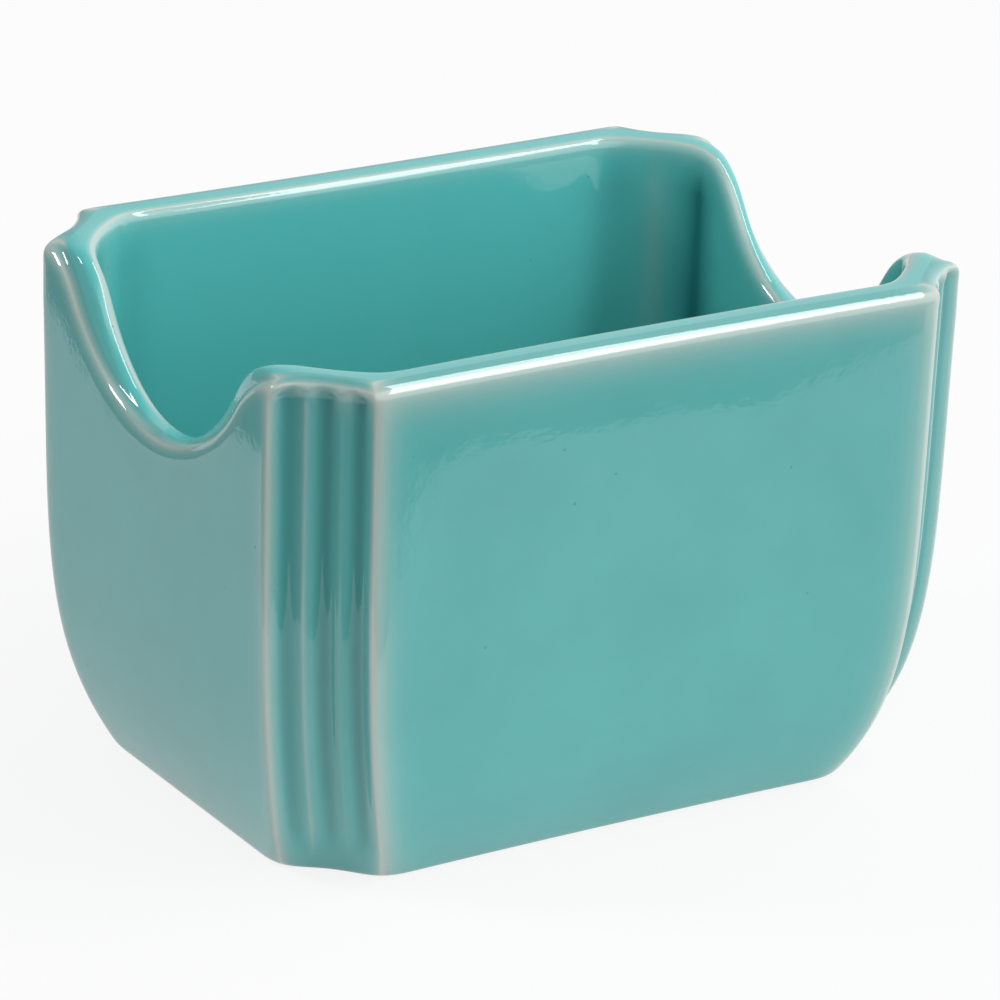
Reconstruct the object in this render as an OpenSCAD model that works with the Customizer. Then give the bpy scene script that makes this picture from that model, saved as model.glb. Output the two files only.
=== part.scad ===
// Sugar packet holder: an open box of fired clay, cast in one piece. Its four walls lean in and curve
// under towards the foot, each short end dips in a smooth U so that fingers reach the packets, the rim
// is rolled, and every corner is cut back and fluted. A thin skin of glaze covers it down to the foot.
// X runs along the length, Y across it, and Z up from the table, from the middle of the foot.

/* [Overall] */
// Length over the end walls, at the rim
length = 95; // [80:0.5:120]
// Width over the long walls, at the rim
width = 71.4; // [60:0.2:90]
// Height from the table to the rim
height = 64; // [54:0.5:80]

/* [Walls] */
// Thickness of the long walls, glaze included
side_wall = 5.3; // [4.3:0.1:7]
// Thickness of the end walls, glaze included
end_wall = 4.3; // [4.3:0.1:7]
// Height of the well's floor above the table
floor_height = 5.6; // [4.5:0.1:8]
// Radius between the floor and the walls of the well
floor_r = 6; // [2:0.5:10]
// How far the long walls bow inwards at the middle of their length
side_bow = 0.5; // [0:0.1:1.5]

/* [Curve of the walls] */
// How far each end wall leans in from the rim to the foot
end_lean = 0.8; // [0:0.1:2]
// How far each end wall curves in below the lean
end_tuck = 5.7; // [1:0.1:8]
// How quickly the end walls' curve tightens towards the foot
end_tuck_power = 4; // [2:0.1:6]
// How far each long wall leans in from the rim to the foot
side_lean = 0.6; // [0:0.1:2]
// How far each long wall curves in below the lean
side_tuck = 6; // [1:0.1:8]
// How quickly the long walls' curve tightens towards the foot
side_tuck_power = 5.4; // [2:0.1:6]
// Height above the table at which the walls start to curve in
tuck_height = 50; // [35:1:52]

/* [Rim] */
// Radius of the rim's outer roll
rim_r = 1.8; // [1:0.1:1.8]
// Radius of the rim's inner roll
rim_inner_r = 2.4; // [0.8:0.1:2.4]
// Share of the outer roll's radius that is left where a dip is steepest
slope_roll_share = 0.5; // [0.4:0.05:1]

/* [End dips] */
// How deep each end dips below the rim
dip_depth = 15.8; // [10:0.2:20]
// Radius of the horn, where the rim turns down into the dip
horn_r = 14; // [10:0.5:18]
// How far round the corner from the end wall's edge a horn starts
horn_reach = 3.7; // [0.5:0.1:8]

/* [Fluted corners] */
// How much of the length each cut-back corner takes
corner_l = 9; // [7:0.2:13]
// How much of the width each cut-back corner takes
corner_w = 8.4; // [6:0.2:11]
// Flutes on each corner
flute_count = 3; // [1:1:4]
// How far each corner is hollowed between its two outermost ribs
corner_hollow = 1.2; // [0:0.1:1.6]
// Depth of a flute below the ribs beside it
flute_depth = 1.1; // [0.4:0.1:1.4]
// How far below the rim a flute's arched top starts, on the outer roll
flute_top = 0.9; // [0.5:0.1:3]
// Height over which a flute runs out above the foot
flute_runout = 5.5; // [2:0.5:8]
// How much of the length each corner of the well takes
well_corner_l = 9; // [5:0.5:10]
// How much of the width each corner of the well takes
well_corner_w = 9; // [5:0.5:10]
// How far each corner of the well is rounded out into the clay
well_corner_round = 0.8; // [0:0.1:1.5]

/* [Foot] */
// Width of the flat ring that stands on the table
foot_ring = 4; // [3:0.5:7]
// Height of the hollow under the floor, inside the ring
foot_hollow = 1.2; // [0.6:0.1:1.6]
// Radius of the foot's outer edge
foot_edge_r = 0.9; // [0.7:0.1:1.2]

/* [Glaze] */
// Thickness of the glaze
glaze = 0.3; // [0.15:0.05:0.45]
// Height above the table at which the glaze stops, on the foot's rounded edge
bare_foot = 0.4; // [0.25:0.05:0.6]

/* [Smoothness] */
// Steps along each half of a dip's hollow
dip_steps = 5; // [3:1:8]
// Steps round a horn, as far as the end wall's edge
horn_steps = 3; // [2:1:6]
// Steps across a flute
flute_steps = 4; // [2:2:8]
// Steps along half a long wall
side_steps = 2; // [1:1:6]
// Steps from the foot up to the dips
wall_steps = 6; // [4:1:12]
// Steps round the rim's outer roll
roll_steps = 4; // [3:1:6]
// Steps round the rim's inner roll and the floor's radius
round_steps = 3; // [2:1:5]
// Steps round the foot's edge above the bare clay
edge_steps = 2; // [1:1:4]

/* [Hidden] */

clay_color = [0.93, 0.90, 0.84];
glaze_color = [0.36, 0.69, 0.67];

// A plan is an outline of straight panels and cut-back corners: half length, half width, the length and
// width that a corner takes, which way the clay lies from it, 1 inwards or -1 outwards, and how far the
// middle of a corner is drawn in.
outer_plan = [length / 2, width / 2, corner_l, corner_w, 1, corner_hollow];
well_plan = [
    length / 2 - end_wall, width / 2 - side_wall, well_corner_l, well_corner_w, -1, -well_corner_round];

// The dip's hollow is the arc that meets the horns without a kink. A horn's arc starts a little way
// round the corner and crosses the end wall's edge at edge_angle.
wall_edge = width / 2 - corner_w;
horn_y = wall_edge + horn_reach;
dip_r = (pow(horn_y, 2) + pow(dip_depth, 2)) / (2 * dip_depth) - horn_r;
dip_angle = atan2(horn_y, dip_r + horn_r - dip_depth);
edge_angle = asin(horn_reach / horn_r);
dip_bottom = height - dip_depth;

// Each flute has a round nose as high as half its width, cut into the rim's roll.
corner_across = norm([corner_l, corner_w]);
flute_w = corner_across / flute_count;
flute_full = flute_top + flute_w / 2;
nose_row_shares = [1, 0.5];

// The foot's edge is rounded, and the glaze reaches down on it to bare_angle.
bare_angle = acos(1 - bare_foot / foot_edge_r);

// The walls' rows of points: level ones up to wall_top, then rows that follow the rim and its dips.
wall_top = dip_bottom - flute_full - 2 * rim_r;
row_power = 1.5;
wall_rows = [for (i = [1 : wall_steps])
    foot_edge_r + (wall_top - foot_edge_r) * pow(i / wall_steps, row_power)];
well_foot = floor_height + floor_r;
well_row_shares = [1, 0.6, 0.25, 0];
hollow_inset = foot_edge_r + foot_ring;

// How far the end walls and the long walls have come in at height z
function curve_in(z, lean, tuck, power) =
    lean * (1 - z / height) + tuck * pow(max(0, 1 - z / tuck_height), power);
function end_in(z) = curve_in(z, end_lean, end_tuck, end_tuck_power);
function side_in(z) = curve_in(z, side_lean, side_tuck, side_tuck_power);

// Columns of points run up the walls. Over one quarter of the plan they cross the end panel from its
// middle, the corner, and the long panel to its middle. A column is its panel, its share of that panel,
// its place across where that is the end panel, the rim's height there, and which way is down from it.
function horn_height(along) =
    height - horn_r + sqrt(pow(horn_r, 2) - pow(max(0, horn_y - along), 2));
end_count = dip_steps + horn_steps;
corner_count = flute_count * flute_steps;
columns = concat(
    [for (i = [0 : dip_steps])
        let (a = dip_angle * i / dip_steps)
        ["end", i / end_count, dip_r * sin(a), dip_bottom + dip_r * (1 - cos(a)), [sin(a), -cos(a)]]],
    [for (i = [1 : horn_steps])
        let (
            a = dip_angle + (edge_angle - dip_angle) * i / horn_steps,
            y = horn_y - horn_r * sin(a),
            down = dip_angle * (1 - i / horn_steps)
        )
        ["end", (dip_steps + i) / end_count, y, horn_height(y), [sin(down), -cos(down)]]],
    [for (i = [1 : corner_count])
        let (share = i / corner_count)
        ["corner", share, 0, horn_height(wall_edge + corner_across * share), [0, -1]]],
    [for (i = [1 : side_steps]) ["side", 1 - i / side_steps, 0, height, [0, -1]]]
);
last = len(columns) - 1;
ring_count = 4 * last;

// How deep a flute is at this share of the corner, this far below the rim and at height z
function flute_in(share, below, z) =
    let (
        across = (share * flute_count - floor(share * flute_count) - 0.5) * flute_w,
        from_line = norm([across, max(0, flute_full - below)]),
        runout = min(1, max(0, (z - foot_edge_r) / flute_runout))
    )
    flute_depth * runout * max(0, 1 - pow(2 * from_line / flute_w, 2));

// A point on a column at height z, moved by inset into the clay. A row that follows the rim gives the
// end panel its own place across, y, and the others leave it undef.
function plan_point(c, plan, z, inset, y = undef) =
    let (
        move = inset * plan[4],
        slant = norm([plan[2], plan[3]]),
        nx = plan[3] / slant,
        ny = plan[2] / slant,
        edge_x = plan[0] - end_in(z) - move,
        edge_y = plan[1] - side_in(z) - move,
        panel_y = plan[1] - plan[3] - side_in(z) + move * (nx - 1) / ny,
        panel_x = plan[0] - plan[2] - end_in(z) + move * (ny - 1) / nx,
        flute = plan[4] > 0 && c[1] < 1 ? flute_in(c[1], c[3] - z, z) : 0,
        drawn_in = plan[5] * 4 * c[1] * (1 - c[1]) + flute
    )
    c[0] == "end" ? [edge_x, (y == undef ? c[1] : y / wall_edge) * panel_y, z] :
    c[0] == "corner" ? [
        edge_x + (panel_x - edge_x) * c[1] - drawn_in * nx,
        panel_y + (edge_y - panel_y) * c[1] - drawn_in * ny,
        z] :
    [panel_x * c[1], edge_y - side_bow * (1 - pow(c[1], 2)), z];

// The same point for a row that lies a given distance below the rim, measured square to the rim
function rim_point(c, plan, below, inset) =
    let (
        square_part = min(below, horn_r / 2),
        z = c[3] + square_part * c[4][1] - (below - square_part)
    )
    plan_point(c, plan, z, inset, c[2] + square_part * c[4][0]);

// A point of a roll of radius r that is turned by a from the wall towards the top, and the outer roll's
// radius on this column, which is smaller on the dips' slopes
function roll_point(c, plan, r, a, skin) =
    rim_point(c, plan, r - (r - skin) * sin(a), r - (r - skin) * cos(a));
function outer_r(c) = rim_r * (1 - (1 - slope_roll_share) * c[4][0] / sin(dip_angle));

// A quarter's points, mirrored into a closed ring
function mirrored(q) = concat(
    q,
    [for (i = [last - 1 : -1 : 0]) [-q[i][0], q[i][1], q[i][2]]],
    [for (i = [1 : last]) [-q[i][0], -q[i][1], q[i][2]]],
    [for (i = [last - 1 : -1 : 1]) [q[i][0], -q[i][1], q[i][2]]]
);
function level_ring(plan, z, inset) = mirrored([for (c = columns) plan_point(c, plan, z, inset)]);
function rim_ring(plan, below, inset) = mirrored([for (c = columns) rim_point(c, plan, below, inset)]);
function edge_ring(a, skin) =
    level_ring(outer_plan, foot_edge_r * (1 - cos(a)), foot_edge_r * (1 - sin(a)) + skin);

// Every row from the glaze line up the outside, over the rim and down to the floor of the well. skin is
// how far below the glazed surface the rows lie: nothing for the glaze, its thickness for the clay.
function wall_rings(skin) = concat(
    [for (i = [0 : edge_steps]) edge_ring(bare_angle + (90 - bare_angle) * i / edge_steps, skin)],
    [for (z = wall_rows) level_ring(outer_plan, z, skin)],
    [for (share = nose_row_shares)
        rim_ring(outer_plan, rim_r + (flute_full - rim_r) * share, skin)],
    [for (i = [0 : roll_steps])
        let (a = 90 * i / roll_steps)
        mirrored([for (c = columns) roll_point(c, outer_plan, outer_r(c), a, skin)])],
    [for (i = [0 : round_steps])
        let (a = 90 * (1 - i / round_steps))
        mirrored([for (c = columns) roll_point(c, well_plan, rim_inner_r, a, skin)])],
    [for (share = well_row_shares)
        level_ring(well_plan, well_foot + (wall_top - well_foot) * share, skin)],
    [for (i = [1 : round_steps])
        let (a = 90 * i / round_steps, r = floor_r + skin)
        level_ring(well_plan, well_foot - r * sin(a), r * cos(a) - floor_r)]
);

// The foot's rows, from the hollow under the floor to the outside of the ring that stands on the table
foot_rings = concat(
    [level_ring(outer_plan, foot_hollow, hollow_inset + foot_hollow + glaze)],
    [level_ring(outer_plan, 0, hollow_inset + glaze)],
    [edge_ring(0, glaze)]
);

function backwards(rows) = [for (i = [len(rows) - 1 : -1 : 0]) rows[i]];

// A closed solid through rings of points, from one middle point to the other
module loft(start, rings, end) {
    top = len(rings) * ring_count + 1;
    polyhedron(
        points = concat([start], [for (r = rings) each r], [end]),
        faces = concat(
            [for (j = [0 : ring_count - 1]) [0, 1 + j, 1 + (j + 1) % ring_count]],
            [for (i = [0 : len(rings) - 2], j = [0 : ring_count - 1], half = [0, 1])
                let (
                    a = 1 + i * ring_count + j,
                    b = 1 + i * ring_count + (j + 1) % ring_count
                )
                half == 0 ? [a, a + ring_count, b] : [b, a + ring_count, b + ring_count]],
            [for (j = [0 : ring_count - 1])
                [top, top - ring_count + (j + 1) % ring_count, top - ring_count + j]]
        )
    );
}

// The casting: foot, walls, rolled rim and well in one closed surface
module clay_body() {
    color(clay_color)
        loft(
            [0, 0, foot_hollow],
            concat(foot_rings, wall_rings(glaze)),
            [0, 0, floor_height - glaze]
        );
}

// The glaze: up the outside from the bare foot, over the rim and down into the well
module glaze_coat() {
    color(glaze_color)
        loft(
            [0, 0, floor_height - glaze],
            concat(backwards(wall_rings(glaze)), wall_rings(0)),
            [0, 0, floor_height]
        );
}

// The glaze inside the foot ring, on the underside of the floor
module underside_glaze() {
    outline = foot_rings[0];
    color(glaze_color)
        translate([0, 0, foot_hollow - glaze])
            linear_extrude(glaze)
                polygon([for (p = outline) [p[0], p[1]]]);
}

clay_body();
glaze_coat();
underside_glaze();
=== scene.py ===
import bpy
import math
import numpy as np
from mathutils import Matrix, Vector


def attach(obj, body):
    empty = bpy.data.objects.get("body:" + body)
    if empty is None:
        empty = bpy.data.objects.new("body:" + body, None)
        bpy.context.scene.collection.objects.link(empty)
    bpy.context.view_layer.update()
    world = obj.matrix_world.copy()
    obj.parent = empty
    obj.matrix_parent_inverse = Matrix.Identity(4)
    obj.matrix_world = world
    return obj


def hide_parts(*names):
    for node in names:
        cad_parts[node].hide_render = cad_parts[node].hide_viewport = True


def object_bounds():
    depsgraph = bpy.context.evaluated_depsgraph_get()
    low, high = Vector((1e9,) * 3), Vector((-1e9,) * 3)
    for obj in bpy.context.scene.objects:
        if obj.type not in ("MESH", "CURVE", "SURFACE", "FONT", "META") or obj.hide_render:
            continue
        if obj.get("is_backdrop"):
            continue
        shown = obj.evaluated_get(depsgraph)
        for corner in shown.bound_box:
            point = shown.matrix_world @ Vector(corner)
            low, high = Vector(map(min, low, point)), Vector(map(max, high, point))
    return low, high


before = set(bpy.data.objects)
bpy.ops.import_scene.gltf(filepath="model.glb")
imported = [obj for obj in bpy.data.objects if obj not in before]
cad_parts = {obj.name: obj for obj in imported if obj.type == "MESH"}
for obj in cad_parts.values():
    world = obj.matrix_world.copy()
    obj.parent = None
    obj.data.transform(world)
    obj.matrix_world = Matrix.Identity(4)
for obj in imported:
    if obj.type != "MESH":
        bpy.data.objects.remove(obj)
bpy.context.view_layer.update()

# The fired clay body: one open box, cast in a plaster mould, with no joint in it. Its walls lean in and
# curve under to the foot, both ends dip in a U, and each corner is cut back, hollowed and fluted. Every
# arris came soft out of the mould. Only the foot stays bare: the glaze covers the rest.
mm = 0.001
half_length, half_width, rim_height = 47.5 * mm, 35.7 * mm, 64 * mm
side_wall, end_wall = 5.3 * mm, 4.3 * mm
floor_height, floor_r = 5.6 * mm, 6 * mm
well_foot = floor_height + floor_r
foot_ring, foot_hollow, foot_edge_r = 4 * mm, 1.2 * mm, 0.9 * mm
glaze_thick, bare_foot = 0.3 * mm, 0.4 * mm
bare_angle = math.acos(1 - bare_foot / foot_edge_r)

# The corners, outside and in the well. A plan holds half a length and width, the corners' cut in both
# directions, which way the clay lies, and how deep the corners are hollowed.
corner_l, corner_w, corner_hollow = 9 * mm, 8.4 * mm, 1.2 * mm
well_corner_l, well_corner_w, well_corner_round = 9 * mm, 9 * mm, 0.8 * mm
inward, outward = 1, -1
outer_plan = (half_length, half_width, corner_l, corner_w, inward, corner_hollow)
well_length, well_width = half_length - end_wall, half_width - side_wall
well_plan = (well_length, well_width, well_corner_l, well_corner_w, outward, -well_corner_round)
corner_across = math.hypot(corner_l, corner_w)
wall_edge = half_width - corner_w

# The flutes start this far below the rim in round noses, and run out above the foot
flute_count, flute_depth, flute_top, flute_runout = 3, 1.2 * mm, 0.9 * mm, 5.5 * mm
nose_share = 0.85
flute_w = corner_across / flute_count
flute_full = flute_top + flute_w / 2 * nose_share

# The dip's arc runs into a horn's arc on each side, which runs on round the corner until it is level
dip_depth, horn_r, horn_reach = 15.8 * mm, 14 * mm, 3.7 * mm
dip_bottom = rim_height - dip_depth
horn_y = wall_edge + horn_reach
dip_r = (horn_y**2 + dip_depth**2) / (2 * dip_depth) - horn_r
dip_angle = math.atan2(horn_y, dip_r + horn_r - dip_depth)
edge_angle = math.asin(horn_reach / horn_r)

# Columns of points run up a quarter of the walls: over the end panel from its middle, the corner, and
# the long panel to its middle. Each knows the rim's height above it and which way is down from the rim.
dip_steps, horn_steps, flute_steps, side_steps = 26, 14, 16, 26
corner_count = flute_count * flute_steps
end_count = dip_steps + horn_steps + 1
column_count = end_count + corner_count + side_steps
closer_by_corner = 0.8
arc = np.linspace(0, dip_angle, dip_steps + 1)
horn_arc = np.linspace(dip_angle, edge_angle, horn_steps + 1)[1:]
horn_down = np.linspace(dip_angle, 0, horn_steps + 1)[1:]
corner_share = np.arange(1, corner_count + 1) / corner_count
side_share = (1 - np.arange(1, side_steps + 1) / side_steps) ** closer_by_corner


def horn_height(along):
    return rim_height - horn_r + np.sqrt(horn_r**2 - np.clip(horn_y - along, 0, None) ** 2)


path_y = np.r_[dip_r * np.sin(arc), horn_y - horn_r * np.sin(horn_arc)]
path_z = np.r_[
    dip_bottom + dip_r * (1 - np.cos(arc)),
    horn_height(path_y[dip_steps + 1 :]),
    horn_height(wall_edge + corner_across * corner_share),
    np.full(side_steps, rim_height),
]
plain = np.zeros(corner_count + side_steps)
down_y = np.r_[np.sin(arc), np.sin(horn_down), plain]
down_z = np.r_[-np.cos(arc), -np.cos(horn_down), plain - 1]
share = np.r_[path_y / wall_edge, corner_share, side_share]
path_y = np.r_[path_y, plain]
steep = down_y / math.sin(dip_angle)
is_end = np.arange(column_count) < end_count
is_side = np.arange(column_count) >= end_count + corner_count
is_corner = ~is_end & ~is_side

# The walls lean in a little all the way down, and tuck in more and more below
side_bow = 0.5 * mm
end_lean, end_tuck, end_power = 0.8 * mm, 5.7 * mm, 4
side_lean, side_tuck, side_power = 0.6 * mm, 6 * mm, 5.4
tuck_height = 50 * mm


def come_in(z, lean, tuck, power):
    return lean * (1 - z / rim_height) + tuck * np.clip(1 - z / tuck_height, 0, None) ** power


def flute_in(below, z):
    """The flutes' depth, this far below the rim: round noses, soft ribs between them, and a run-out."""
    across = (share * flute_count % 1 - 0.5) * flute_w
    from_line = np.hypot(across, np.clip(flute_full - below, 0, None) / nose_share)
    runout = np.clip((z - foot_edge_r) / flute_runout, 0, 1)
    return flute_depth * runout * np.clip(1 - (2 * from_line / flute_w) ** 2, 0, 1)


def quarter(plan, z, inset, y=None):
    """A quarter ring at height z, moved by inset into the clay. y is its place across an end's dip."""
    length, width, cut_l, cut_w, way, hollow = plan
    move = inset * way
    slant = math.hypot(cut_l, cut_w)
    nx, ny = cut_w / slant, cut_l / slant
    in_x = come_in(z, end_lean, end_tuck, end_power)
    in_y = come_in(z, side_lean, side_tuck, side_power)
    edge_x, edge_y = length - in_x - move, width - in_y - move
    panel_y = width - cut_w - in_y + move * (nx - 1) / ny
    panel_x = length - cut_l - in_x + move * (ny - 1) / nx
    drawn_in = hollow * 4 * share * (1 - share)
    if way == inward:
        drawn_in = drawn_in + flute_in(path_z - z, z)
    across = share if y is None else y / wall_edge
    corner_x = edge_x + (panel_x - edge_x) * share - drawn_in * nx
    corner_y = panel_y + (edge_y - panel_y) * share - drawn_in * ny
    bowed = edge_y - side_bow * (1 - share**2)
    x = np.where(is_end, edge_x, np.where(is_side, panel_x * share, corner_x))
    y = np.where(is_end, across * panel_y, np.where(is_side, bowed, corner_y))
    return np.stack([x, y, z], -1)


def mirrored(q):
    """The quarter ring, mirrored into a closed one."""
    far_end, both_far, far_side = q[-2::-1] * (-1, 1, 1), q[1:] * (-1, -1, 1), q[-2:0:-1] * (1, -1, 1)
    return np.concatenate([q, far_end, both_far, far_side])


def level_ring(plan, z, inset):
    return mirrored(quarter(plan, np.full(column_count, z), inset))


def foot_edge_ring(a, skin):
    """A ring of the foot's rounded edge, turned by a from the table up to the wall."""
    inset = foot_edge_r * (1 - math.sin(a)) + skin
    return level_ring(outer_plan, foot_edge_r * (1 - math.cos(a)), inset)


def rim_ring(plan, below, inset):
    """A ring this far below the rim: square to the rim's path at first, and then straight down."""
    square_part = np.minimum(below, horn_r / 2)
    z = path_z + square_part * down_z - (below - square_part)
    return mirrored(quarter(plan, z, inset, path_y + square_part * down_y))


def roll_ring(plan, r, a, skin, squareness):
    """A ring of a roll of radius r, turned by a from the wall towards the top."""
    down = max(math.sin(a), 0) ** (2 / squareness)
    over = max(math.cos(a), 0) ** (2 / squareness)
    return rim_ring(plan, r - (r - skin) * down, r - (r - skin) * over)


def between(first, last, count):
    """Rings on the straight way from one ring to another, without those two."""
    return [first + (last - first) * k / (count + 1) for k in range(1, count + 1)]


def moved_along(line, shift, closed):
    """Each point of a line, moved along it. A closed line runs round, an open one stops at its ends."""
    ring = np.concatenate([line, line[:1]]) if closed else line
    at = np.concatenate([[0], np.cumsum(np.linalg.norm(np.diff(ring, axis=0), axis=1))])
    where = at[: len(line)] + shift
    where = where % at[-1] if closed else np.clip(where, 0, at[-1])
    return np.stack([np.interp(where, at, ring[:, i]) for i in range(3)], -1)


def softened(line, width, closed):
    """A line with its bends rounded, by averaging over about this width on each side."""
    furthest, count = 1.8, 13
    mean, weights = 0, 0
    for k in np.linspace(-furthest, furthest, count):
        weight = math.exp(-k * k / 2)
        mean = mean + weight * moved_along(line, k * width, closed)
        weights += weight
    return mean / weights


# How soft the mould left the clay: the ribs hold their line, and melt towards the foot
rib_soft, foot_soft, foot_soft_reach = 0.65 * mm, 1.9 * mm, 4.5 * mm
well_soft, upright_soft = 1.6 * mm, 0.3 * mm


def outer_softened(ring):
    width = rib_soft + foot_soft * math.exp(-ring[:, 2].min() / foot_soft_reach)
    return softened(ring, width, True)


# The rim's roll is tighter outside where the dips slope, and squarer inside where the rim is level
rim_r, rim_inner_r, slope_roll_share = 1.8 * mm, 2.4 * mm, 0.5
round_roll, level_roll = 2, 4
outer_r = rim_r * (1 - (1 - slope_roll_share) * steep)
inner_squareness = level_roll - (level_roll - round_roll) * steep
rim_reach, rim_clear = 6.5 * mm, 1 * mm
wall_top = dip_bottom - rim_reach - rim_clear
foot_edge_steps, wall_steps, rim_steps, roll_steps = 5, 45, 22, 10
well_rim_steps, well_steps = 8, 24
outer_bridge, well_bridge, top_bridge = 8, 6, 3
closer_by_foot = 1.4


def wall_rings(skin):
    """Every ring from the glaze line up the outside, over the rim and down to the well's floor."""
    turn = np.linspace(bare_angle, math.pi / 2, foot_edge_steps)
    outside = [foot_edge_ring(a, skin) for a in turn]
    heights = np.linspace(0, 1, wall_steps)[1:] ** closer_by_foot
    heights = foot_edge_r + (wall_top - foot_edge_r) * heights
    outside += [level_ring(outer_plan, z, skin) for z in heights]
    near_rim = np.linspace(rim_reach, rim_r, rim_steps)[:-1]
    near_rim = [rim_ring(outer_plan, below, skin) for below in near_rim]
    outside += between(outside[-1], near_rim[0], outer_bridge) + near_rim
    roll = np.linspace(0, math.pi / 2, roll_steps)
    outside += [roll_ring(outer_plan, outer_r, a, skin, round_roll) for a in roll]
    inside = [roll_ring(well_plan, rim_inner_r, a, skin, inner_squareness) for a in roll[::-1]]
    near_rim = np.linspace(rim_inner_r, rim_reach, well_rim_steps)[1:]
    inside += [rim_ring(well_plan, below, skin) for below in near_rim]
    well = [level_ring(well_plan, z, skin) for z in np.linspace(wall_top, well_foot, well_steps)]
    inside += between(inside[-1], well[0], well_bridge) + well
    r = floor_r + skin
    for a in roll[1:]:
        inside.append(level_ring(well_plan, well_foot - r * math.sin(a), r * math.cos(a) - floor_r))
    outside = [outer_softened(ring) for ring in outside]
    inside = [softened(ring, well_soft, True) for ring in inside]
    rings = np.array(outside + between(outside[-1], inside[0], top_bridge) + inside)
    columns = [softened(rings[:, j], upright_soft, False) for j in range(rings.shape[1])]
    return np.stack(columns, 1)


def closed_loft(name, start, rings, end):
    """A closed mesh through the rings, from one middle point to the other."""
    levels, count = rings.shape[:2]
    points = np.concatenate([[start], rings.reshape(-1, 3), [end]])
    top = len(points) - 1
    faces = [(0, 1 + (j + 1) % count, 1 + j) for j in range(count)]
    for i in range(levels - 1):
        for j in range(count):
            a, b = 1 + i * count + j, 1 + i * count + (j + 1) % count
            faces.append((a, b, b + count, a + count))
    faces += [(top, top - count + j, top - count + (j + 1) % count) for j in range(count)]
    mesh = bpy.data.meshes.new(name)
    mesh.from_pydata(points.tolist(), [], faces)
    mesh.polygons.foreach_set("use_smooth", [True] * len(faces))
    mesh.update()
    piece = bpy.data.objects.new(name, mesh)
    bpy.context.scene.collection.objects.link(piece)
    return piece


hollow_inset = foot_edge_r + foot_ring + glaze_thick
foot_rings = [level_ring(outer_plan, foot_hollow, hollow_inset + foot_hollow)]
foot_rings += [level_ring(outer_plan, 0, hollow_inset - foot_ring * k) for k in (0, 0.5, 1)]
turn = np.linspace(0, bare_angle, foot_edge_steps)[1:-1]
foot_rings += [foot_edge_ring(a, glaze_thick) for a in turn]
table_soft = rib_soft + foot_soft
foot_rings = np.array([softened(ring, table_soft, True) for ring in foot_rings])
clay = closed_loft(
    "fired_clay",
    (0, 0, foot_hollow),
    np.concatenate([foot_rings, wall_rings(glaze_thick)]),
    (0, 0, floor_height - glaze_thick),
)
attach(clay, "root")
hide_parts("clay_body")


def new_material(name):
    material = bpy.data.materials.new(name)
    material.use_nodes = True
    tree = material.node_tree
    return material, tree, tree.nodes["Principled BSDF"]


def feed(tree, source, socket):
    """Another node's output, a plain number or a colour goes into a socket."""
    if isinstance(source, bpy.types.NodeSocket):
        tree.links.new(source, socket)
    else:
        socket.default_value = (*source, 1) if socket.type == "RGBA" else source


def new_group(name, inputs, output):
    """A node group with inputs, as pairs of a name and a start value, and one output."""
    group = bpy.data.node_groups.new(name, "ShaderNodeTree")
    sockets = group.interface
    for label, start in inputs:
        socket = sockets.new_socket(name=label, in_out="INPUT", socket_type="NodeSocketFloat")
        socket.default_value = start
    sockets.new_socket(name=output, in_out="OUTPUT", socket_type="NodeSocketFloat")
    given, result = group.nodes.new("NodeGroupInput"), group.nodes.new("NodeGroupOutput")
    return group, given.outputs, result.inputs[output]


def placed(tree, group, **values):
    """A node group in a material, with its own values there."""
    node = tree.nodes.new("ShaderNodeGroup")
    node.node_tree = group
    for label, value in values.items():
        feed(tree, value, node.inputs[label])
    return node.outputs[0]


# Grain, which the clay and the glaze both have: noise in the piece's own space, in lumps per metre
grain, given, result = new_group(
    "grain", (("Scale", 1000), ("Detail", 2), ("Roughness", 0.5)), "Height"
)
noise = grain.nodes.new("ShaderNodeTexNoise")
place = grain.nodes.new("ShaderNodeTexCoord")
feed(grain, place.outputs["Object"], noise.inputs["Vector"])
for label in ("Scale", "Detail", "Roughness"):
    feed(grain, given[label], noise.inputs[label])
feed(grain, noise.outputs["Fac"], result)


def relief(tree, height, depth, under=None):
    """A bump this deep, in metres, on top of another one."""
    bump = tree.nodes.new("ShaderNodeBump")
    bump.inputs["Distance"].default_value = depth
    feed(tree, height, bump.inputs["Height"])
    if under is not None:
        feed(tree, under, bump.inputs["Normal"])
    return bump.outputs["Normal"]


def rising(tree, value, low, high, most=1, blend="LINEAR"):
    """Nothing where a value is at low, rising to the most where it is at high."""
    node = tree.nodes.new("ShaderNodeMapRange")
    node.interpolation_type = blend
    feed(tree, value, node.inputs["Value"])
    feed(tree, low, node.inputs["From Min"])
    feed(tree, high, node.inputs["From Max"])
    feed(tree, most, node.inputs["To Max"])
    return node.outputs["Result"]


def tint(tree, mask, under, colour):
    """One colour laid over another where the mask says. 6 and 7 are the node's two colour sockets."""
    node = tree.nodes.new("ShaderNodeMix")
    node.data_type = "RGBA"
    feed(tree, mask, node.inputs[0])
    feed(tree, under, node.inputs[6])
    feed(tree, colour, node.inputs[7])
    return node.outputs[2]


# Bare clay is matt and buff white, with fine dark specks and a dry, slightly open grain
buff, dark_speck = (0.74, 0.68, 0.59), (0.42, 0.36, 0.29)
clay_material, tree, shader = new_material("bare_clay_fired")
between_specks = rising(tree, placed(tree, grain, Scale=2600), 0.30, 0.42)
feed(tree, tint(tree, between_specks, dark_speck, buff), shader.inputs["Base Color"])
open_grain = placed(tree, grain, Scale=5200, Detail=3, Roughness=0.6)
feed(tree, relief(tree, open_grain, 0.02 * mm), shader.inputs["Normal"])
shader.inputs["Roughness"].default_value = 0.85
clay.data.materials.append(clay_material)

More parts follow.
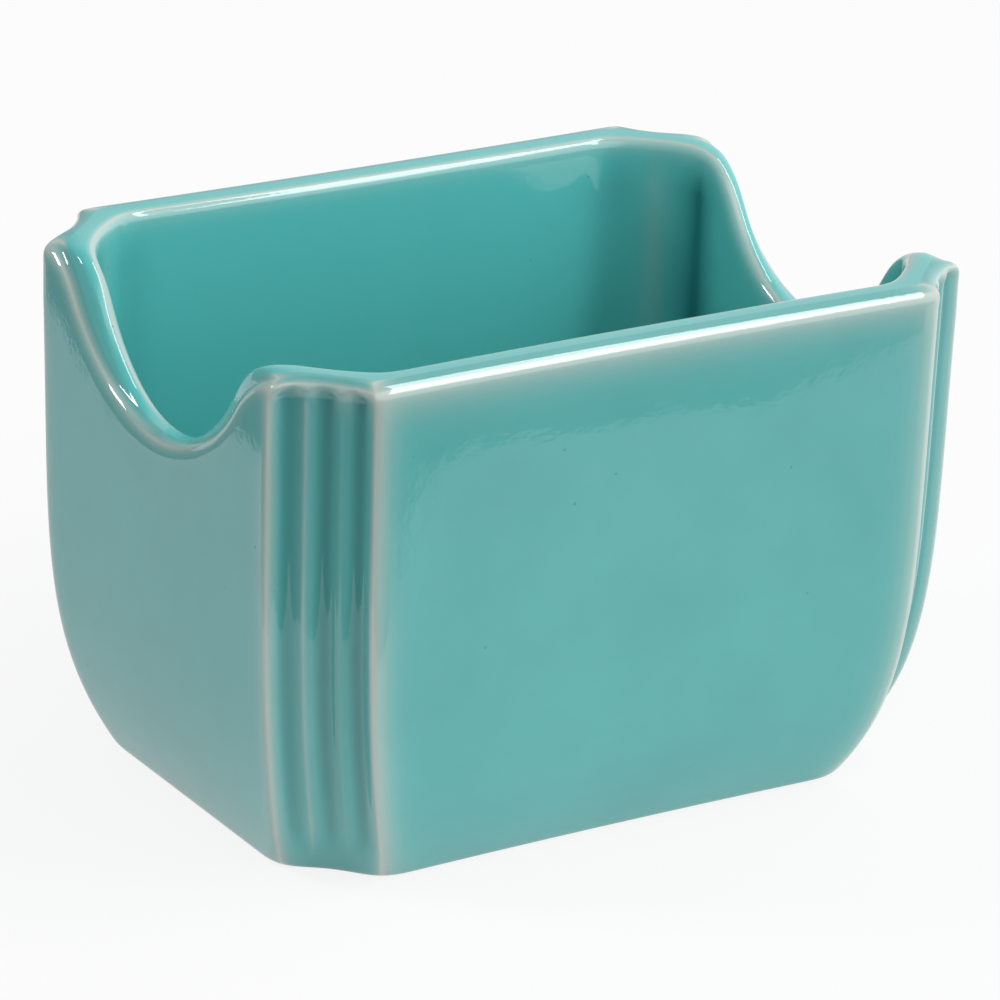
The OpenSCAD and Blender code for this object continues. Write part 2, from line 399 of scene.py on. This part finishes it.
# The glaze: a skin of turquoise glass over the clay, poured in and dipped, then fired. It runs thin on
# every arris, where the pale clay shows through, and gathers deep in the flutes and hollows. Its pale
# edges also carry a painted reflection, and its dark hollows painted shade.
inner_skin, outer_skin = wall_rings(glaze_thick), wall_rings(0)
glaze = closed_loft(
    "glaze",
    (0, 0, floor_height - glaze_thick),
    np.concatenate([inner_skin[::-1], outer_skin]),
    (0, 0, floor_height),
)
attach(glaze, "root")
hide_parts("glaze_coat")

skin_height = outer_skin[:, :, 2]
ring_number = np.arange(len(outer_skin))[:, None]
crest = skin_height.mean(1).argmax()
in_well = ring_number > crest
end_arris, side_arris = end_count - 1, end_count + corner_count - 1


def fade_in(values, start, over):
    """0 up to the start, then up to 1 over this much."""
    return np.clip((values - start) / over, 0, 1)


def all_round(values):
    """One quarter's values for all four quarters, with a row for each ring."""
    return np.concatenate([values, values[:, -2::-1], values[:, 1:], values[:, -2:0:-1]], 1)


def fade_out(lengths, start, before, after):
    """1 at the point at start, fading over the first length on one side and the other beyond it."""
    away = lengths - lengths[start]
    return np.exp(-np.where(away < 0, -away / before, away / after))


one_quarter = outer_skin[:, :column_count]
step_round = np.linalg.norm(np.diff(one_quarter, axis=1, prepend=one_quarter[:, :1]), axis=2)
step_down = np.linalg.norm(np.diff(outer_skin, axis=0, prepend=outer_skin[:1]), axis=2)
round_skin, down_skin = np.cumsum(step_round, 1).T, np.cumsum(step_down, 0)


def upright_lines(*lines):
    """Lines up the walls, each with its strength, its column, and its reach to the end and the side."""
    fades = [strength * fade_out(round_skin, *rest) for strength, *rest in lines]
    return all_round(np.maximum.reduce(fades).T)


def stands_proud(rings, reach):
    """How far each point stands out from those at this reach to both sides of it, round the walls."""
    near = [(moved_along(ring, -reach, True) + moved_along(ring, reach, True)) / 2 for ring in rings]
    out = np.cross(np.roll(rings, -1, 1) - np.roll(rings, 1, 1), np.gradient(rings, axis=0))
    out /= np.linalg.norm(out, axis=2, keepdims=True) + 1e-12
    return ((rings - np.array(near)) * out).sum(2) / reach


# Where it gathers, with painted shade laid over the pooled glaze: down the well's corners, most where
# they meet the ends, and a little in the flutes. The dark crease where the well's corners meet the ends
# is painted shade. In the well both effects fade out towards the rim, over some rings, and towards the
# floor.
crease_shade, corner_pool_and_shade, flute_pool_and_shade = 0.42, 0.5, 0.6
down_well = fade_in(ring_number, crest + 10, 8)
down_well = down_well * fade_in(skin_height, floor_height + 0.5 * mm, 6 * mm)
# Painted shade: the well's crease next to each end wall is darkened, as shade falls there.
crease_painted_shade = upright_lines((crease_shade, end_arris + 2, 1.8 * mm, 2.4 * mm))
corners_pooled_and_shaded = crease_painted_shade - corner_pool_and_shade * stands_proud(outer_skin, 3 * mm)
flutes_pooled_and_shaded = -flute_pool_and_shade * stands_proud(outer_skin, 2.2 * mm)
hollow = np.where(in_well, corners_pooled_and_shaded * down_well, flutes_pooled_and_shaded)

# Where it runs thin: along the rim's outer and inner edge, down the corners' arrises, and a little down
# the ribs. The pale line along the inner edge is partly a painted reflection, and the pale strip down
# the middle of the well's corners is a painted reflection.
end_reach, side_reach = 0.55 * mm, 1.8 * mm
corner_reach = end_reach + (side_reach - end_reach) * share
under_rim = all_round(np.where(is_end, end_reach, np.where(is_side, side_reach, corner_reach))[None])
on_slope = np.minimum(all_round(steep[None]) * 2, 1)
level_edge, slope_edge, well_edge = crest - 6, crest - 4, crest + 6
over_edge = (1 - on_slope) * fade_out(down_skin, level_edge, under_rim, 0.4 * mm)
over_edge += on_slope * fade_out(down_skin, slope_edge, 0.7 * mm, 0.5 * mm)
# A pale line just inside the rim, partly thin glaze and partly a painted reflection.
over_edge = np.maximum(over_edge, 0.9 * fade_out(down_skin, well_edge, 0.3 * mm, 0.9 * mm))
down_arrises = ~in_well * upright_lines(
    (0.9025, end_arris, 0.9 * mm, 0.7 * mm),
    (0.95, side_arris, 0.5 * mm, 1.3 * mm),
)
down_ribs = upright_lines(
    (0.4, end_arris + flute_steps, 0.4 * mm, 0.4 * mm),
    (0.1, end_arris + 2 * flute_steps, 0.4 * mm, 0.4 * mm),
)
down_ribs = down_ribs * fade_in(crest - ring_number, 9, 7) * fade_in(skin_height, 2 * mm, 5 * mm)
reflection_width, reflection_strength, pooled_and_shaded_covers = 0.14, 0.16, 0.15
# A painted reflection: a pale strip down the middle of each of the well's corners.
well_corner_reflection = is_corner * np.exp(-(((share - 0.5) / reflection_width) ** 2))
painted_reflection_strip = reflection_strength * all_round(well_corner_reflection[None]) * down_well
thin = 1 - (1 - over_edge) * (1 - down_arrises) * (1 - painted_reflection_strip)
thin = thin * (1 - fade_in(hollow, 0, pooled_and_shaded_covers) * ~in_well)
thin = np.maximum(thin, down_ribs)
inside = in_well * np.ones_like(hollow)
for name, values in (("thin", thin), ("hollow", hollow), ("inside", inside)):
    layer = glaze.data.attributes.new(name, "FLOAT", "POINT")
    over_skin = np.concatenate([[0], np.zeros(values.size), values.ravel(), [0]])
    layer.data.foreach_set("value", over_skin.astype(np.float32))


def maths(tree, operation, a, b):
    node = tree.nodes.new("ShaderNodeMath")
    node.operation = operation
    feed(tree, a, node.inputs[0])
    feed(tree, b, node.inputs[1])
    return node.outputs[0]


# How much of an effect shows where a value lies between two bounds, broken up a little by the grain
drawn, given, mask = new_group(
    "glaze_draws", (("Amount", 0), ("From", 0.05), ("To", 0.3), ("Unevenness", 0.05)), "Mask"
)
uneven = maths(drawn, "SUBTRACT", placed(drawn, grain, Scale=260), 0.5)
uneven = maths(drawn, "MULTIPLY", uneven, given["Unevenness"])
uneven = maths(drawn, "ADD", uneven, given["Amount"])
feed(drawn, rising(drawn, uneven, given["From"], given["To"]), mask)


def glaze_draws(name, low, high, unevenness):
    """The mask of one of the glaze's own attributes."""
    read = tree.nodes.new("ShaderNodeAttribute")
    read.attribute_name = name
    amount = read.outputs["Fac"]
    return placed(tree, drawn, Amount=amount, From=low, To=high, Unevenness=unevenness)


# Thin glaze is pale and deep glaze is dark, and the same colours also paint reflection and shade. The
# walls are a little cloudy, with a few pinholes, and the well is painted a brighter turquoise, as
# painted light for the light that reaches into it.
turquoise, cloudy = (0.081, 0.392, 0.384), (0.071, 0.364, 0.356)
painted_lit_well_turquoise, pinhole_dark = (0.094, 0.485, 0.474), (0.02, 0.14, 0.14)
pooled_and_shaded, thin_over_clay = (0.010, 0.145, 0.15), (0.50, 0.56, 0.515)
glaze_material, tree, shader = new_material("turquoise_glaze_gloss")
clouds = rising(tree, placed(tree, grain, Scale=55, Detail=3, Roughness=0.55), 0.35, 0.7)
colour = tint(tree, clouds, turquoise, cloudy)
# Painted light: the well's glaze is a brighter turquoise than the walls.
colour = tint(tree, glaze_draws("inside", 0, 1, 0), colour, painted_lit_well_turquoise)
# Pooled glaze, with painted shade, darkens the flutes and the well's corners.
pooled_and_shaded_mask = maths(tree, "MULTIPLY", glaze_draws("hollow", 0, 0.45, 0.04), 0.95)
colour = tint(tree, pooled_and_shaded_mask, colour, pooled_and_shaded)
# Pale where the glaze runs thin, and where a reflection is painted.
colour = tint(tree, glaze_draws("thin", 0, 1, 0.04), colour, thin_over_clay)
cells_per_metre, pinhole_edge, pinhole_middle = 150, 0.035, 0.02
cells = tree.nodes.new("ShaderNodeTexVoronoi")
cells.inputs["Scale"].default_value = cells_per_metre
feed(tree, tree.nodes.new("ShaderNodeTexCoord").outputs["Object"], cells.inputs["Vector"])
pinholes = rising(tree, cells.outputs["Distance"], pinhole_edge, pinhole_middle, most=0.5)
colour = tint(tree, pinholes, colour, pinhole_dark)
feed(tree, colour, shader.inputs["Base Color"])
swell = relief(tree, placed(tree, grain, Scale=150), 0.03 * mm)
ripple = relief(tree, placed(tree, grain, Scale=1500, Detail=1), 0.005 * mm, swell)
feed(tree, ripple, shader.inputs["Normal"])
shader.inputs["Roughness"].default_value = 0.04
shader.inputs["IOR"].default_value = 1.65
glaze.data.materials.append(glaze_material)

# The underside's glaze: the same turquoise inside the foot ring, on the hollow under the floor, left
# there when the ring was wiped dry for the kiln shelf. It is flat, and stays clear of the table.
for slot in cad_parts["underside_glaze"].material_slots:
    slot.material = glaze_material

# The table: white paper under the holder, cut along straight lines with a few round corners, on a grey
# floor that reaches past the view. It is there for the glaze, which mirrors the paper's edges.
floor_half = 2.5
floor_corners = [(x * floor_half, y * floor_half, 0) for x, y in ((-1, -1), (1, -1), (1, 1), (-1, 1))]
floor_mesh = bpy.data.meshes.new("floor")
floor_mesh.from_pydata(floor_corners, [], [(0, 1, 2, 3)])
floor = bpy.data.objects.new("floor", floor_mesh)
bpy.context.scene.collection.objects.link(floor)
floor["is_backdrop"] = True
floor_material, tree, shader = new_material("pale_floor")


def along(tree, coordinates, way):
    """How far a place, or a direction, reaches this way."""
    dot = tree.nodes.new("ShaderNodeVectorMath")
    dot.operation = "DOT_PRODUCT"
    feed(tree, tree.nodes.new("ShaderNodeTexCoord").outputs[coordinates], dot.inputs[0])
    feed(tree, way, dot.inputs[1])
    return dot.outputs["Value"]


def past_line(x, y, reach):
    """How far a place on the floor lies past a straight edge, which faces (x, y) at this reach."""
    return maths(tree, "SUBTRACT", along(tree, "Object", (x, y, 0)), reach)


def past_corner(a, b, corner_r):
    """The same for two edges that meet at a rounded corner."""
    node = tree.nodes.new("ShaderNodeMath")
    node.operation = "SMOOTH_MAX"
    for socket, value in zip(node.inputs, (a, b, corner_r)):
        feed(tree, value, socket)
    return node.outputs[0]


near_paper = past_corner(past_line(-0.78, -0.626, 57.1 * mm), past_line(0, -1, 150.5 * mm), 12 * mm)
near_paper = maths(tree, "MINIMUM", near_paper, past_line(0, -1, 98 * mm))
near_paper = maths(tree, "MINIMUM", near_paper, past_line(-0.486, -0.874, 86.2 * mm))
left_paper = past_corner(past_line(-1, 0, 116 * mm), past_line(0, 1, 112 * mm), 10 * mm)
left_paper = maths(tree, "MINIMUM", left_paper, past_line(-0.966, -0.258, 71.7 * mm))
edge_blur = 1 * mm
off_paper = rising(tree, past_corner(near_paper, left_paper, 20 * mm), -edge_blur, edge_blur)
lit_paper, lit_floor, seen_paper, seen_floor = ((grey,) * 3 for grey in (0.8, 0.22, 1, 0.32))
feed(tree, tint(tree, off_paper, lit_paper, lit_floor), shader.inputs["Base Color"])
shader.inputs["Roughness"].default_value = 0.9

# To the camera and in the glaze the floor shows mostly its own colour, and for the rest its lit one,
# which keeps the holder's shadow.
seen = tree.nodes.new("ShaderNodeLightPath").outputs
shown = maths(tree, "MAXIMUM", seen["Is Camera Ray"], seen["Is Glossy Ray"])
shown = maths(tree, "MAXIMUM", shown, seen["Is Transmission Ray"])
own_colour_share = 0.85
own_colour = tree.nodes.new("ShaderNodeEmission")
feed(tree, tint(tree, off_paper, seen_paper, seen_floor), own_colour.inputs["Color"])
lit_or_own = tree.nodes.new("ShaderNodeMixShader")
feed(tree, maths(tree, "MULTIPLY", shown, own_colour_share), lit_or_own.inputs[0])
feed(tree, shader.outputs["BSDF"], lit_or_own.inputs[1])
feed(tree, own_colour.outputs["Emission"], lit_or_own.inputs[2])
feed(tree, lit_or_own.outputs["Shader"], tree.nodes["Material Output"].inputs["Surface"])
floor_mesh.materials.append(floor_material)


# The lights: a long soft box above on the right, whose reflection runs along the near rim, and a square
# one behind on the left, which touches the far horns. Both are area lamps that face the holder.
def soft_box(name, way, long_way, size, power):
    distance = 1.1
    light = bpy.data.lights.new(name, "AREA")
    light.shape = "RECTANGLE"
    light.size, light.size_y = size
    light.energy = power
    lamp = bpy.data.objects.new(name, light)
    back = Vector(way).normalized()
    up = back.cross(Vector(long_way)).normalized()
    turned = Matrix((up.cross(back), up, back)).transposed().to_4x4()
    lamp.matrix_world = Matrix.Translation(back * distance) @ turned
    bpy.context.scene.collection.objects.link(lamp)


soft_box("long_box", way=(0.5, -0.36, 0.79), long_way=(0, -0.9, -0.43), size=(1.2, 0.16), power=3.6)
soft_box("back_box", way=(-0.62, 0.35, 0.7), long_way=(1, 1, 0), size=(0.24, 0.24), power=3)

# The studio round it: grey, paler on the right, palest high up in front, and dark overhead
world = bpy.data.worlds.new("studio")
world.use_nodes = True
tree = world.node_tree
studio_colour = (0.42, 0.42, 0.42)
for towards, low, high, grey in (
    ((0.9, -0.43, 0), -0.4, 0.8, 1.28),
    ((0.25, -0.8, 0.54), 0.55, 0.95, 1.85),
    ((0, 0, 1), 0.7, 0.95, 0.08),
):
    facing = along(tree, "Generated", towards)
    nearer = rising(tree, facing, low, high, blend="SMOOTHSTEP")
    studio_colour = tint(tree, nearer, studio_colour, (grey, grey, grey))
feed(tree, studio_colour, tree.nodes["Background"].inputs["Color"])
bpy.context.scene.world = world
bpy.context.scene.view_settings.view_transform = "Standard"

# The camera: a long lens that looks down on the near corner from the front left, a little tilted, at a
# point above the middle of the foot.
view_yaw, view_pitch, view_roll = 0.56448, 0.37122, 0.03551
view_distance, look_height = 697.15 * mm, 30 * mm
view_right, view_up = 0.723 * mm, 1.581 * mm
focal_px, image_px, sensor = 5774.6, 1000, 36
nearest, furthest = 0.01, 20
cos_yaw, sin_yaw = math.cos(view_yaw), math.sin(view_yaw)
cos_pitch, sin_pitch = math.cos(view_pitch), math.sin(view_pitch)
ahead = Vector((sin_yaw * cos_pitch, cos_yaw * cos_pitch, -sin_pitch))
level_right = Vector((cos_yaw, -sin_yaw, 0))
level_up = level_right.cross(ahead)
right = math.cos(view_roll) * level_right + math.sin(view_roll) * level_up
up = math.cos(view_roll) * level_up - math.sin(view_roll) * level_right
camera = bpy.data.objects.new("camera", bpy.data.cameras.new("camera"))
bpy.context.scene.collection.objects.link(camera)
camera.data.sensor_width = sensor
camera.data.lens = sensor * focal_px / image_px
camera.data.clip_start, camera.data.clip_end = nearest, furthest
eye = Vector((0, 0, look_height)) - ahead * view_distance + right * view_right + up * view_up
camera.matrix_world = Matrix.Translation(eye) @ Matrix((right, up, -ahead)).transposed().to_4x4()
bpy.context.scene.camera = camera

low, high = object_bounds()
